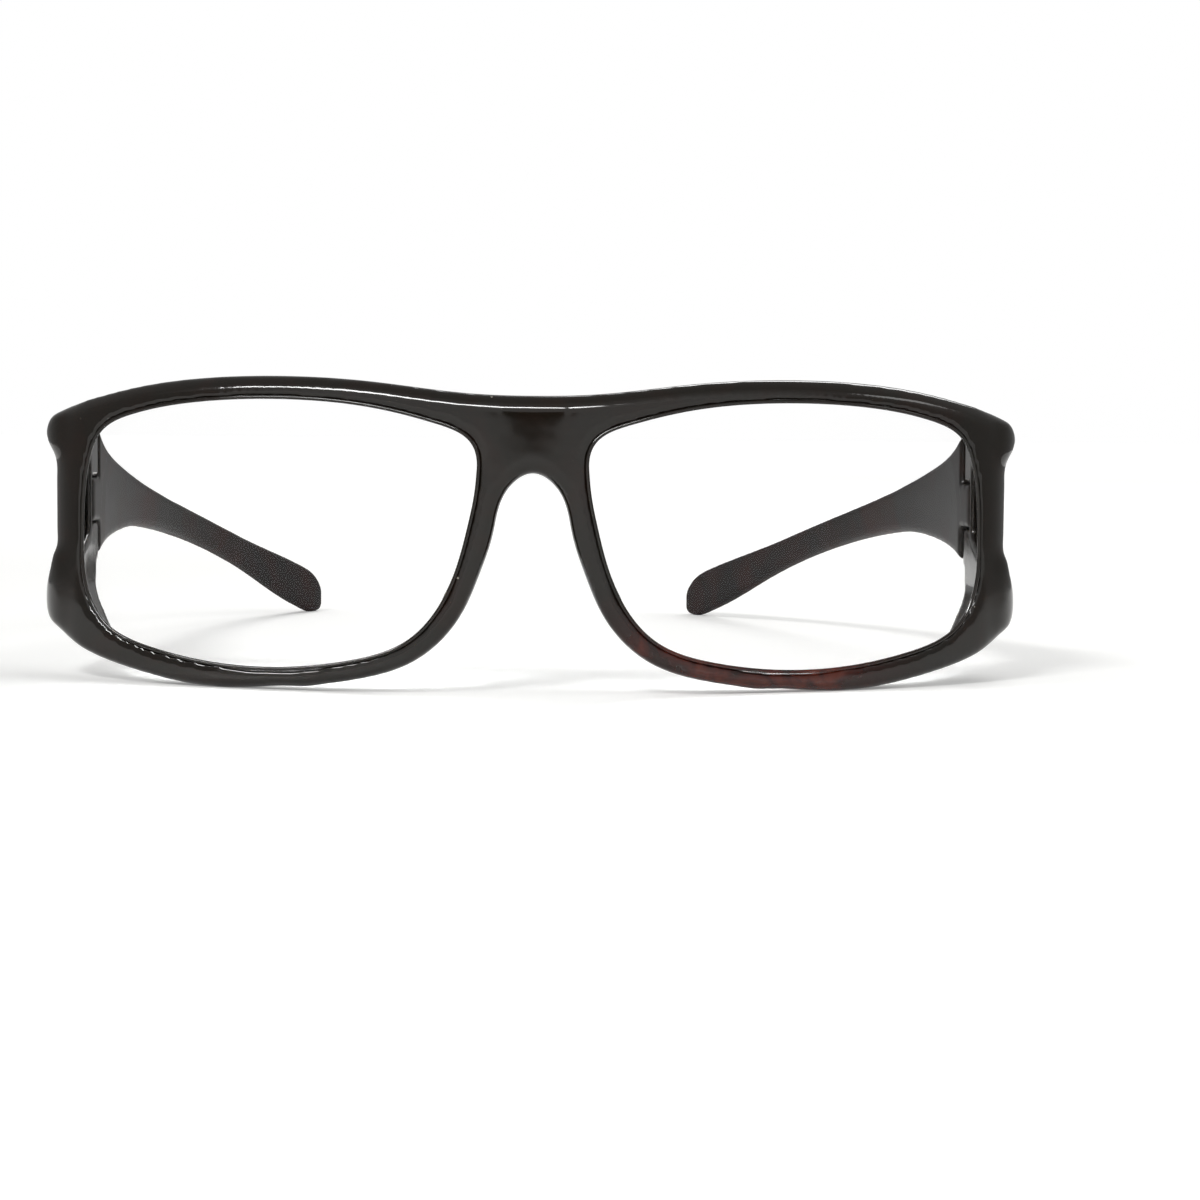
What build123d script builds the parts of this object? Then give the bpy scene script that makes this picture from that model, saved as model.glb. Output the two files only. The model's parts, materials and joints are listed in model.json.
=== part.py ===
from build123d import *
import os
from math import sqrt

# Fitover sunglasses, worn over a pair of prescription glasses. Lengths are in millimetres.
# +X is the wearer's left, -Y is forward, +Z is up. The glasses stand on the lower rims
# and the temple tips, and the origin is on the table under the middle of the whole.
# Left and right are the wearer's.

# Overall sizes
lens_field_width = 134.0       # outer edge of one opening to outer edge of the other
opening_height = 39.0
overall_depth = 164.0          # front of the bridge to the temple tips

# Front, seen from the front
side_margin = 7.0              # outer edge of an opening to the outside of the rails
opening_sill = 3.1             # lower rim under the opening
brow_band = 3.1                # brow over the opening
bridge_width = 15.4            # between the two openings
bridge_height = 13.6           # underside of the bridge to the top of the brow
chin_rise = 8.4                # how far the lower edge climbs on its way to the rails

# Front, seen from above
corner_radius = 10.0           # turn from the front into the side shield
inner_corner_radius = 4.0
rim_depth = 5.0                # front to back of the rims
shield_wall = 3.8              # side shield at its recessed band
rail_stand_out = 1.8           # rails proud of the recessed band

# Edges of the front
crest_blend = 10.0             # between the top of the brow and the top of the shield
brow_bevel = 1.6
chin_bevel = 0.9

# Front lenses, snapped into a groove round each opening
lens_thickness = 2.0
lens_setback = 1.4             # face of the rim to the groove
lens_hold = 0.8                # depth of the groove
lens_play = 0.05               # behind the lens and round its edge

# Nose saddle behind the bridge
saddle_wall = 1.8
saddle_root = 1.25             # how deep it begins inside the rims
saddle_inset = 0.35            # arch to the inner face of the saddle
saddle_reach = 7.0             # beyond the back of the rims
saddle_flare = 1.4

# Side shield, from the top down
shoulder_drop = 7.0            # top of the brow to the top of the shield at the hinge
upper_rail_rise = 1.4          # above the top of the shield at the hinge
upper_rail_height = 5.8
lower_rail_rise = 2.7          # above the underside of the hinge
lower_rail_height = 11.4
shelf_reach = 16.5             # how far the foot of the shield comes in
shelf_lift = 0.2               # underside of the hinge to where the foot begins

# Side window and its pane
window_lead = 2.3              # front edge of the window to the end of the corner
window_length = 13.8
window_top_gap = 0.4           # under the upper rail
window_foot_gap = 2.6          # over the lower rail, at the rear edge
window_slope = 5.6             # how far the lower edge drops towards the front
window_corner = 2.2
window_border = 1.0            # of the recessed band under the window
pocket_taper = -30.0           # degrees, sides of the pocket that the rails leave round it
pane_thickness = 1.6
pane_setback = 1.0             # inner face of the shield to the pane

# Hinge
hinge_setback = 3.9            # rear edge of the window to the hinge axis
knuckle_radius = 2.0
knuckle_drop = 8.8             # top of the shield to the top of the knuckle
knuckle_height = 6.7
lower_lug_height = 6.4
butt_reach = 4.2               # hinge axis to the butt face of the temple
lug_reach = 3.1                # hinge axis to the end of the lugs
butt_gap = 0.15                # outer skin of the shield to the butt face
knuckle_gap = 0.25             # round the knuckle
knuckle_end_gap = 0.15         # above and below the knuckle
foot_reach = 1.5               # hinge axis to the rear edge of the shield's foot
boss_lead = 3.5                # where the shield thickens, in front of the hinge axis
boss_ramp = 1.8

# Hinge screw
screw_radius = 0.7
screw_clearance = 0.05
screw_length = 15.0            # under the head
screw_head_radius = 1.2
screw_head_height = 1.0
screw_recess = 4.0             # top of the shield to the seat of the head
screw_recess_gap = 0.1
screw_end_gap = 0.3
driver_slot_width = 0.35
driver_slot_depth = 0.4

# Temples
temple_radius = 263.0          # inward curve, seen from above
temple_drop = 0.7              # top of the shield to the top of the temple's root
temple_middle_wall = 3.9
temple_tip_wall = 3.4
temple_tip_round = 2.2
temple_outer_bevel = 1.1
temple_inner_bevel = 0.6
left_rest_fold = 5.7           # degrees the left temple is folded in at rest

half_width = lens_field_width / 2 + side_margin
frame_height = opening_sill + opening_height + brow_band
bridge_arch_height = frame_height - bridge_height
front_radius = 0.8955 * lens_field_width
rest_flat_start = 0.2836 * lens_field_width
rest_flat_end = 0.3433 * lens_field_width
band_x = half_width - rail_stand_out
side_inner_x = band_x - shield_wall
rail_root_x = side_inner_x + shield_wall / 2
opening_inner_x = bridge_width / 2
opening_width = lens_field_width / 2 - opening_inner_x

shield_top = frame_height - shoulder_drop
screw_seat = shield_top - screw_recess
knuckle_top = shield_top - knuckle_drop
knuckle_bottom = knuckle_top - knuckle_height
notch_top = knuckle_top + knuckle_end_gap
notch_bottom = knuckle_bottom - knuckle_end_gap
hinge_bottom = knuckle_bottom - lower_lug_height
shelf_start = hinge_bottom + shelf_lift
upper_rail_high = shield_top + upper_rail_rise
upper_rail_low = upper_rail_high - upper_rail_height
lower_rail_high = hinge_bottom + lower_rail_rise
lower_rail_low = lower_rail_high - lower_rail_height
window_top = upper_rail_low - window_top_gap
window_bottom = lower_rail_high + window_foot_gap
temple_root_top = shield_top - temple_drop

corner_end = front_radius - sqrt((front_radius - corner_radius) ** 2 - (band_x - corner_radius) ** 2)
window_front = corner_end - window_lead
window_rear = window_front + window_length
hinge_depth = window_rear + hinge_setback
boss_start = hinge_depth - boss_lead
shield_rear = hinge_depth + foot_reach
lug_end = hinge_depth + lug_reach
butt_depth = hinge_depth + butt_reach
skin_end = butt_depth - butt_gap
pin_x = side_inner_x + knuckle_radius
skin_inner_x = pin_x + knuckle_radius + knuckle_gap
apex_y = -overall_depth / 2
over = 6.0                     # overrun of cutting and trimming shapes

# Sketch planes with their origin on the table under the front of the bridge
table = Plane(origin=(0, apex_y, 0), x_dir=(1, 0, 0), z_dir=(0, 0, 1))
facing = Plane(origin=(0, apex_y, 0), x_dir=(1, 0, 0), z_dir=(0, -1, 0))
beside = Plane(origin=(0, apex_y, 0), x_dir=(0, 1, 0), z_dir=(1, 0, 0))

# Top of the brow from the middle outwards, as shares of the half width and of the shoulder's
# drop, measured down from the top of the brow
brow_shares = [(0, 0.374), (0.128, 0.330), (0.303, 0.116), (0.480, 0.003), (0.662, 0.065),
               (0.824, 0.316), (0.938, 0.639), (1.06, 1.02)]
# Underside of the bridge and the nose legs, as shares of the flat's start and arch height
arch_shares = [(0, 1), (0.111, 0.895), (0.147, 0.731), (0.195, 0.551), (0.271, 0.348),
               (0.408, 0.171), (0.579, 0.079), (0.808, 0.022), (1, 0)]
# The part of the arch that the nose saddle follows
saddle_shares = arch_shares[:5]
# Lower edge outside the flat, as shares of the width left and of the chin's rise
chin_shares = [(0, 0), (0.264, 0.089), (0.521, 0.274), (0.757, 0.536), (0.946, 0.893), (1.15, 1.33)]
# A front opening, as shares of its width and height from its lower inner corner
opening_shares = [(0, 0.747), (0.029, 0.865), (0.101, 0.914), (0.246, 0.968), (0.494, 1.0),
                  (0.698, 0.986), (0.857, 0.942), (0.948, 0.873), (0.985, 0.747), (1.0, 0.496),
                  (0.988, 0.27), (0.943, 0.147), (0.815, 0.055), (0.545, 0), (0.315, 0.032),
                  (0.169, 0.112), (0.062, 0.329), (0.020, 0.547)]
# Top of the shield from the brow back, as shares of the butt face's depth and of the shoulder's
# drop, measured up from the top of the shield at the hinge
shield_top_shares = [(0.25, 1.637), (0.36, 0.900), (0.48, 0.519), (0.613, 0.300), (0.818, 0.115),
                     (1.0, 0), (1.14, -0.082)]
# Foot of the shield, as shares of the depth of its rear edge and of the lug's underside
shield_foot_shares = [(0.26, -0.12), (0.346, 0.006), (0.433, 0.098), (0.528, 0.196), (0.617, 0.30),
                      (0.714, 0.405), (0.866, 0.558), (0.963, 0.712), (1.0, 0.87)]
# Inside of the foot, as shares of its reach inwards and of the height where it starts
shelf_shares = [(0, 1), (0.024, 0.715), (0.145, 0.545), (0.309, 0.388), (0.485, 0.255),
                (0.697, 0.133), (1, -0.1)]
# Bulge of each rail, as shares of its stand-out and its height
upper_rail_shares = [(0, 0), (0.78, 0.42), (0, 1)]
lower_rail_shares = [(0, 0), (0.72, 0.12), (1, 0.36), (0.6, 0.7), (0, 1)]
# Temple's edges from the butt face back, as shares of the length left and of the root's height
temple_top_shares = [(0, 1.0), (0.044, 0.931), (0.14, 0.845), (0.322, 0.72), (0.54, 0.576),
                     (0.774, 0.387), (0.939, 0.221), (1.06, 0.07)]
temple_foot_shares = [(1.06, -0.1), (0.965, 0), (0.896, 0.075), (0.774, 0.229), (0.60, 0.395),
                      (0.40, 0.509), (0.235, 0.547), (0.12, 0.529), (0.044, 0.496), (-0.02, 0.435)]


def looking_out(face):
    """Whether an upright face looks away from the wearer's head."""
    normal, centre = face.normal_at(), face.center()
    return abs(normal.Z) < 0.01 and normal.X * centre.X + normal.Y * centre.Y > 0


def on_the_crest(face):
    """Whether a face is part of the top of the brow or of the shields."""
    return face.normal_at().Z > 0.1 and face.center().Z > shield_top


def mirrored(points):
    """The points of one half, continued across the middle."""
    return [(-x, z) for x, z in reversed(points) if x > 0] + points


def scaled(shares, width, height, x=0, z=0):
    """Outline points from their shares of a width and a height."""
    return [(x + across * width, z + up * height) for across, up in shares]


def pushed(points, distance):
    """The points of an outline moved to its outer side."""
    moved = []
    for i, (x, z) in enumerate(points):
        before = Vector(points[max(i - 1, 0)])
        after = Vector(points[min(i + 1, len(points) - 1)])
        along = (after - before).normalized()
        moved.append((x - along.Y * distance, z + along.X * distance))
    return moved


def wrap_face(radius, corner, side_x, end_depth):
    """The wrapped front seen from above: an arc, two corners and two straight sides."""
    centre_x = side_x - corner
    centre_y = front_radius - sqrt((radius - corner) ** 2 - centre_x ** 2)
    centre = Vector(centre_x, centre_y)
    outward = (centre - Vector(0, front_radius)).normalized()
    start = centre + outward * corner
    middle = centre + (outward + Vector(1, 0)).normalized() * corner
    end = Vector(side_x, centre_y)
    with BuildSketch() as wrap:
        with BuildLine():
            ThreePointArc((-start.X, start.Y), (0, front_radius - radius), (start.X, start.Y))
            ThreePointArc(start, middle, end)
            Line(end, (side_x, end_depth))
            Line((side_x, end_depth), (-side_x, end_depth))
            Line((-side_x, end_depth), (-side_x, centre_y))
            ThreePointArc((-side_x, centre_y), (-middle.X, middle.Y), (-start.X, start.Y))
        make_face()
    return wrap.sketch


def front_silhouette():
    """The whole front seen from the front, with the arch over the nose."""
    brow = mirrored(scaled(brow_shares, half_width, -shoulder_drop, z=frame_height))
    arch = mirrored(scaled(arch_shares, rest_flat_start, bridge_arch_height))
    chin = scaled(chin_shares, half_width - rest_flat_end, chin_rise, x=rest_flat_end)
    chin_right = [(-x, z) for x, z in chin]
    with BuildSketch() as outline:
        with BuildLine():
            Spline(brow)
            Line(brow[-1], chin[-1])
            Spline(chin, tangents=[(1, 0), (1, 1)])
            Line(chin[0], arch[-1])
            Spline(arch, tangents=[(1, 0), (1, 0)])
            Line(arch[0], chin_right[0])
            Spline(chin_right, tangents=[(-1, 0), (-1, 1)])
            Line(chin_right[-1], brow[0])
        make_face()
    return outline.sketch


def side_silhouette():
    """The front and its shields seen from the side."""
    top = scaled(shield_top_shares, butt_depth, shoulder_drop, z=shield_top)
    foot = scaled(shield_foot_shares, shield_rear, hinge_bottom)
    ceiling = frame_height + 2 * over
    with BuildSketch() as outline:
        with BuildLine():
            Spline(top)
            Polyline(top[-1], (top[-1][0], hinge_bottom), (shield_rear, hinge_bottom), foot[-1])
            Spline(foot)
            Polyline(foot[0], (foot[0][0], -over), (-over, -over), (-over, ceiling),
                     (top[0][0], ceiling), top[0])
        make_face()
    return outline.sketch


def cavity_face():
    """The space behind the front, seen from the front."""
    shelf = [(side_inner_x - inward * shelf_reach, up * shelf_start) for inward, up in shelf_shares]
    ceiling = frame_height + over
    with BuildSketch() as inside:
        with BuildLine():
            Spline(shelf, tangents=[(0, -1), (-1, -1)])
            Polyline(shelf[-1], (shelf[-1][0], -over), (0, -over), (0, ceiling),
                     (side_inner_x, ceiling), shelf[0])
        make_face()
        mirror(about=Plane.YZ)
    return inside.sketch


def rail_face(shares, low, high):
    """Section of the two rails at one height, with their bulges beyond the recessed band."""
    bulge = scaled(shares, rail_stand_out, high - low, band_x, low)
    with BuildSketch() as section:
        with BuildLine():
            Spline(bulge)
            Polyline(bulge[-1], (rail_root_x, high), (rail_root_x, low), bulge[0])
        make_face()
    return section.sketch


def saddle_face(push):
    """Section of the nose saddle, a band round the arch, pushed out by an amount."""
    inner = pushed(mirrored(scaled(saddle_shares, rest_flat_start, bridge_arch_height)), push)
    outer = pushed(inner, saddle_wall)
    with BuildSketch() as band:
        with BuildLine():
            Spline(inner)
            Line(inner[-1], outer[-1])
            Spline(outer)
            Line(outer[0], inner[0])
        make_face()
    return band.sketch


def opening_face(grow=0):
    """The outline of the left front opening, or of a lens that is larger by grow."""
    points = scaled(opening_shares, opening_width, opening_height, opening_inner_x, opening_sill)
    with BuildSketch() as opening:
        with BuildLine():
            edge = Spline(points, periodic=True, mode=Mode.PRIVATE)
            outward = [(edge % edge.param_at_point(point)).rotate(Axis.Z, 90) for point in points]
            Spline([Vector(point) + way * grow for point, way in zip(points, outward)], periodic=True)
        make_face()
    return opening.sketch


def window_face(grow=0):
    """The outline of a side window, or of a pane that is larger by grow."""
    with BuildSketch() as window:
        with BuildLine():
            Polyline((window_front, window_bottom - window_slope), (window_rear, window_bottom),
                     (window_rear, window_top), (window_front, window_top), close=True)
        make_face()
        fillet(window.vertices(), radius=window_corner)
        if grow:
            offset(amount=grow, mode=Mode.REPLACE)
    return window.sketch


def lens_plan(front_face, thickness):
    """A ring seen from above, concentric with the face of the front."""
    with BuildSketch() as ring:
        with Locations((0, front_radius)):
            Circle(front_radius - front_face)
            Circle(front_radius - front_face - thickness, mode=Mode.SUBTRACT)
    return ring.sketch


def temple_plan():
    """The left temple seen from above, opened flat."""
    centre_x = side_inner_x - temple_radius

    def inner(depth):
        return centre_x + sqrt(temple_radius ** 2 - (depth - butt_depth) ** 2)

    end = overall_depth
    middle = (butt_depth + end) / 2
    with BuildSketch() as plan:
        with BuildLine():
            ThreePointArc((side_inner_x, butt_depth), (inner(middle), middle), (inner(end), end))
            Line((inner(end), end), (inner(end) + temple_tip_wall, end))
            ThreePointArc((inner(end) + temple_tip_wall, end),
                          (inner(middle) + temple_middle_wall, middle), (half_width, butt_depth))
            Line((half_width, butt_depth), (side_inner_x, butt_depth))
        make_face()
    return plan.sketch


def above_temple():
    """What lies over the top edge of a temple, seen from the side."""
    top = scaled(temple_top_shares, overall_depth - butt_depth, temple_root_top, x=butt_depth)
    ceiling = frame_height + over
    with BuildSketch() as waste:
        with BuildLine():
            Spline(top)
            Polyline(top[-1], (top[-1][0], ceiling), (top[0][0], ceiling), top[0])
        make_face()
    return waste.sketch


def below_temple():
    """What lies under the bottom edge of a temple, seen from the side."""
    foot = scaled(temple_foot_shares, overall_depth - butt_depth, temple_root_top, x=butt_depth)
    with BuildSketch() as waste:
        with BuildLine():
            Spline(foot)
            Polyline(foot[-1], (foot[-1][0], -over), (foot[0][0], -over), foot[0])
        make_face()
    return waste.sketch


# Space behind the front, where the prescription glasses go
with BuildPart() as cavity:
    with BuildSketch(table.offset(-over)):
        add(wrap_face(front_radius - rim_depth, inner_corner_radius, side_inner_x, butt_depth + over))
    extrude(amount=frame_height + 2 * over)
    with BuildSketch(facing):
        add(cavity_face())
    extrude(amount=-(butt_depth + 2 * over), mode=Mode.INTERSECT)

# Rails along the top and foot of the left shield, and the boss that hides the hinge
with BuildPart() as rails:
    with BuildSketch(facing):
        add(rail_face(upper_rail_shares, upper_rail_low, upper_rail_high))
        add(rail_face(lower_rail_shares, lower_rail_low, lower_rail_high))
    extrude(amount=-skin_end)
    with BuildSketch(beside.offset(band_x)):
        add(window_face(window_border))
    extrude(amount=rail_stand_out + over, taper=pocket_taper, mode=Mode.SUBTRACT)
    with BuildSketch(table.offset(hinge_bottom)):
        with BuildLine():
            Polyline((rail_root_x, boss_start), (band_x, boss_start),
                     (half_width, boss_start + boss_ramp), (half_width, skin_end),
                     (rail_root_x, skin_end), close=True)
        make_face()
    extrude(amount=frame_height)
    with BuildSketch(table):
        add(wrap_face(front_radius, corner_radius, half_width, skin_end))
    extrude(amount=frame_height + over, mode=Mode.INTERSECT)
    with BuildSketch(beside):
        add(side_silhouette())
    extrude(amount=half_width + over, mode=Mode.INTERSECT)

# Everything that a hinge takes out of the left shield
with BuildPart() as hinge_cuts:
    notch_reach = knuckle_radius + knuckle_gap
    with BuildSketch(table.offset(notch_bottom)):
        with Locations((pin_x, hinge_depth)):
            Circle(notch_reach)
            Rectangle(notch_reach, butt_reach + over, align=(Align.MIN, Align.MIN))
            with Locations((0, -notch_reach)):
                Rectangle(notch_reach + over, notch_reach + butt_reach + over,
                          align=(Align.MAX, Align.MIN))
    extrude(amount=notch_top - notch_bottom)
    with BuildSketch(table.offset(hinge_bottom - over)):
        with Locations((skin_inner_x, lug_end)):
            Rectangle(skin_inner_x - side_inner_x + over, butt_reach + over,
                      align=(Align.MAX, Align.MIN))
    extrude(amount=shield_top + 2 * over)
    with BuildSketch(table.offset(screw_seat)):
        with Locations((pin_x, hinge_depth)):
            Circle(screw_head_radius + screw_recess_gap)
    extrude(amount=screw_recess + over)
    with BuildSketch(table.offset(screw_seat)):
        with Locations((pin_x, hinge_depth)):
            Circle(screw_radius + screw_clearance)
    extrude(amount=-(screw_length + screw_end_gap))

# Groove that a front lens snaps into
with BuildPart() as groove:
    with BuildSketch(table):
        add(lens_plan(lens_setback, lens_thickness + lens_play))
    extrude(amount=frame_height)
    with BuildSketch(facing):
        add(opening_face(lens_hold))
    extrude(amount=-(window_front + over), mode=Mode.INTERSECT)

# The left front opening with its groove
with BuildPart() as opening_cut:
    with BuildSketch(facing.offset(over)):
        add(opening_face())
    extrude(amount=-(window_front + 2 * over))
    add(groove.part)

# Groove for the pane of the left side window
with BuildPart() as pane_groove:
    with BuildSketch(beside.offset(side_inner_x + pane_setback)):
        add(window_face(lens_hold))
    extrude(amount=pane_thickness)

with BuildPart() as front_frame:
    with BuildSketch(table):
        add(wrap_face(front_radius, corner_radius, band_x, skin_end))
    extrude(amount=frame_height + over)
    with BuildSketch(facing.offset(over)):
        add(front_silhouette())
    extrude(amount=-(skin_end + 2 * over), mode=Mode.INTERSECT)
    split(bisect_by=Plane.YZ)
    feet = front_frame.faces().filter_by(lambda face: face.normal_at().Z < -0.1)
    skins = front_frame.faces().filter_by(looking_out)
    chamfer(feet.edges() & skins.edges(), length=chin_bevel)
    with BuildSketch(beside.offset(-half_width - over)):
        add(side_silhouette())
    extrude(amount=2 * (half_width + over), mode=Mode.INTERSECT)
    add(opening_cut.part, mode=Mode.SUBTRACT)
    crest = front_frame.faces().filter_by(on_the_crest)
    fillet(crest[0].edges() & crest[1].edges(), radius=crest_blend)
    crest = front_frame.faces().filter_by(on_the_crest)
    skins = front_frame.faces().filter_by(looking_out)
    chamfer(crest.edges() & skins.edges(), length=brow_bevel)
    add(cavity.part, mode=Mode.SUBTRACT)
    add(rails.part)
    with BuildSketch(beside):
        add(window_face())
    extrude(amount=half_width + over, mode=Mode.SUBTRACT)
    add(pane_groove.part, mode=Mode.SUBTRACT)
    add(hinge_cuts.part, mode=Mode.SUBTRACT)
    mirror(about=Plane.YZ)
    with BuildSketch(facing.offset(saddle_root - rim_depth)):
        add(saddle_face(saddle_inset))
    with BuildSketch(facing.offset(-rim_depth - saddle_reach)):
        add(saddle_face(saddle_inset + saddle_flare))
    loft(ruled=True)

with BuildPart() as left_front_lens:
    with BuildSketch(table):
        add(lens_plan(lens_setback, lens_thickness))
    extrude(amount=frame_height)
    with BuildSketch(facing):
        add(opening_face(lens_hold - lens_play))
    extrude(amount=-(window_front + over), mode=Mode.INTERSECT)

with BuildPart() as right_front_lens:
    add(mirror(left_front_lens.part, about=Plane.YZ))

with BuildPart() as left_side_lens:
    with BuildSketch(beside.offset(side_inner_x + pane_setback + lens_play)):
        add(window_face(lens_hold - lens_play))
    extrude(amount=pane_thickness - 2 * lens_play)

with BuildPart() as right_side_lens:
    add(mirror(left_side_lens.part, about=Plane.YZ))

# The left temple opened flat; the right one is its mirror image
with BuildPart() as open_temple:
    with BuildSketch(table):
        add(temple_plan())
    extrude(amount=frame_height)
    with BuildSketch(beside):
        add(above_temple())
    extrude(amount=half_width + over, mode=Mode.SUBTRACT)
    with BuildSketch(beside):
        add(below_temple())
    extrude(amount=half_width + over, mode=Mode.SUBTRACT)
    tip = open_temple.edges().filter_by(GeomType.LINE).group_by(Axis.Y)[-1]
    fillet(tip.filter_by(lambda edge: abs((edge % 0.5).Z) < 0.1), radius=temple_tip_round)
    rims = open_temple.faces().filter_by(lambda face: face.normal_at().Y > -0.9)
    rims = rims.filter_by(lambda face: abs((face.normal_at()).Z) > 0.05 or face.normal_at().Y > 0.9)
    flanks = open_temple.faces().filter_by(GeomType.CYLINDER).sort_by(SortBy.AREA)[-2:]
    outer_edges = flanks.sort_by(Axis.X)[-1].edges() & rims.edges()
    chamfer(outer_edges, length=temple_outer_bevel)
    rims = open_temple.faces().filter_by(lambda face: face.normal_at().Y > -0.9)
    rims = rims.filter_by(lambda face: abs((face.normal_at()).Z) > 0.05 or face.normal_at().Y > 0.9)
    flanks = open_temple.faces().filter_by(GeomType.CYLINDER).sort_by(SortBy.AREA)[-2:]
    inner_edges = flanks.sort_by(Axis.X)[0].edges() & rims.edges()
    chamfer(inner_edges, length=temple_inner_bevel)
    with BuildSketch(table.offset(knuckle_bottom)):
        with Locations((pin_x, hinge_depth)):
            Circle(knuckle_radius)
            Rectangle(2 * knuckle_radius, butt_reach + knuckle_radius, align=(Align.CENTER, Align.MIN))
    extrude(amount=knuckle_top - knuckle_bottom)
    with BuildSketch(table.offset(knuckle_bottom)):
        with Locations((pin_x, hinge_depth)):
            Circle(screw_radius + screw_clearance)
    extrude(amount=knuckle_top - knuckle_bottom, mode=Mode.SUBTRACT)

with BuildPart() as right_temple:
    add(mirror(open_temple.part, about=Plane.YZ))

left_hinge_axis = Axis((pin_x, apex_y + hinge_depth, 0), (0, 0, 1))
with BuildPart() as left_temple:
    add(open_temple.part.rotate(left_hinge_axis, left_rest_fold))

with BuildPart() as left_hinge_screw:
    with BuildSketch(table.offset(screw_seat)):
        with Locations((pin_x, hinge_depth)):
            Circle(screw_radius)
    extrude(amount=-screw_length)
    with BuildSketch(table.offset(screw_seat)):
        with Locations((pin_x, hinge_depth)):
            Circle(screw_head_radius)
    extrude(amount=screw_head_height)
    with BuildSketch(table.offset(screw_seat + screw_head_height)):
        with Locations((pin_x, hinge_depth)):
            Rectangle(2 * screw_head_radius + over, driver_slot_width)
    extrude(amount=-driver_slot_depth, mode=Mode.SUBTRACT)

with BuildPart() as right_hinge_screw:
    add(mirror(left_hinge_screw.part, about=Plane.YZ))

front_frame.part.label = "front_frame"
left_front_lens.part.label = "left_front_lens"
right_front_lens.part.label = "right_front_lens"
left_side_lens.part.label = "left_side_lens"
right_side_lens.part.label = "right_side_lens"
left_temple.part.label = "left_temple"
right_temple.part.label = "right_temple"
left_hinge_screw.part.label = "left_hinge_screw"
right_hinge_screw.part.label = "right_hinge_screw"

os.makedirs("parts", exist_ok=True)
export_step(front_frame.part, "parts/front_frame.step")
export_step(left_front_lens.part, "parts/left_front_lens.step")
export_step(right_front_lens.part, "parts/right_front_lens.step")
export_step(left_side_lens.part, "parts/left_side_lens.step")
export_step(right_side_lens.part, "parts/right_side_lens.step")
export_step(left_temple.part, "parts/left_temple.step")
export_step(right_temple.part, "parts/right_temple.step")
export_step(left_hinge_screw.part, "parts/left_hinge_screw.step")
export_step(right_hinge_screw.part, "parts/right_hinge_screw.step")
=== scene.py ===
# %% [markdown]
# # Dressing a pair of fitover sunglasses
# The real thing is a wraparound frame, moulded in one piece from tortoise coloured nylon and
# polished. Two clear lenses snap into grooves round the front openings, two dark panes fill the
# side windows, and two satin arms turn on steel screws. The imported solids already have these
# forms. This lesson is about finish: what each plastic does with light, and the small rounded
# edges that light runs along. The lenses, panes and screws are dressed as they are, and the front
# and the arms get a new skin with soft edges in the place of their solids.

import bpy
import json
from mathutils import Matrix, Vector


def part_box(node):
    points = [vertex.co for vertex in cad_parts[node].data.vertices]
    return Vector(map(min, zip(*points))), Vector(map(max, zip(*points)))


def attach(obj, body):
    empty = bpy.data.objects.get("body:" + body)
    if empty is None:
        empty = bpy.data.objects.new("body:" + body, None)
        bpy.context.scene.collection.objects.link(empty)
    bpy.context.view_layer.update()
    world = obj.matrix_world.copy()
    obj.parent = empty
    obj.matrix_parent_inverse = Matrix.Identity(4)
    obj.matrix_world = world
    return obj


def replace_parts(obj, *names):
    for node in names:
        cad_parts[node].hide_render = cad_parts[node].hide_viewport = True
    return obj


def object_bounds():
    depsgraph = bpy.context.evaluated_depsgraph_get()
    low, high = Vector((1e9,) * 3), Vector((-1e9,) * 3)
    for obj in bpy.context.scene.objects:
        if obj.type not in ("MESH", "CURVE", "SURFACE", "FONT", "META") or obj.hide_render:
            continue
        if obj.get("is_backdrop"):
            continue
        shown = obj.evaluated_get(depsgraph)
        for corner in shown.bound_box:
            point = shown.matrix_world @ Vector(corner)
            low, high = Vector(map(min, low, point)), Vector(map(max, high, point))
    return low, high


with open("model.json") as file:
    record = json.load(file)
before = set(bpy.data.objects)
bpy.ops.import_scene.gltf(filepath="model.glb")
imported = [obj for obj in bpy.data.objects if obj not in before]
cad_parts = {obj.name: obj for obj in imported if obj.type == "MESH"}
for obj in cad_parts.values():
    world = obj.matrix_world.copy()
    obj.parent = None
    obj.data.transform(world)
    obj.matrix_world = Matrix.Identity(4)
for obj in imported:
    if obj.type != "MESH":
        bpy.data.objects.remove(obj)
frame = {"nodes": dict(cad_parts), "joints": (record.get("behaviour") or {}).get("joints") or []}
cad_low, cad_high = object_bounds()
print("solids:", sorted(frame["nodes"]))
print("box in mm:", [round(1000 * side) for side in cad_high - cad_low])

# %% Other modules and the scene
import json
from math import atan, cos, pi, radians, sin

import bpy
import numpy
from mathutils import Euler, Matrix, Vector

MM = 0.001
scene = bpy.context.scene
scene.view_settings.view_transform = "Standard"
print("view transform:", scene.view_settings.view_transform)

# %% [markdown]
# ## The camera
# The picture was taken from straight in front, close to the glasses and a little above them: the
# lower rims show their upper side, and the arms run together behind the openings. A pinhole camera
# could be set by eye. Here it is worked out instead, from the distance that makes the arm tips as
# small as they are, and from where the middle of the glasses and the horizon fall in the picture.

# %% Place the camera
image_side = 1200              # pixels
camera_distance = 375 * MM     # from the front of the bridge
camera_height = 39.8 * MM
focal_pixels = 2651.0
middle_column = 533.5          # of the glasses' middle plane
horizon_row = 416.0
camera_roll = radians(-0.48)

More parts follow.
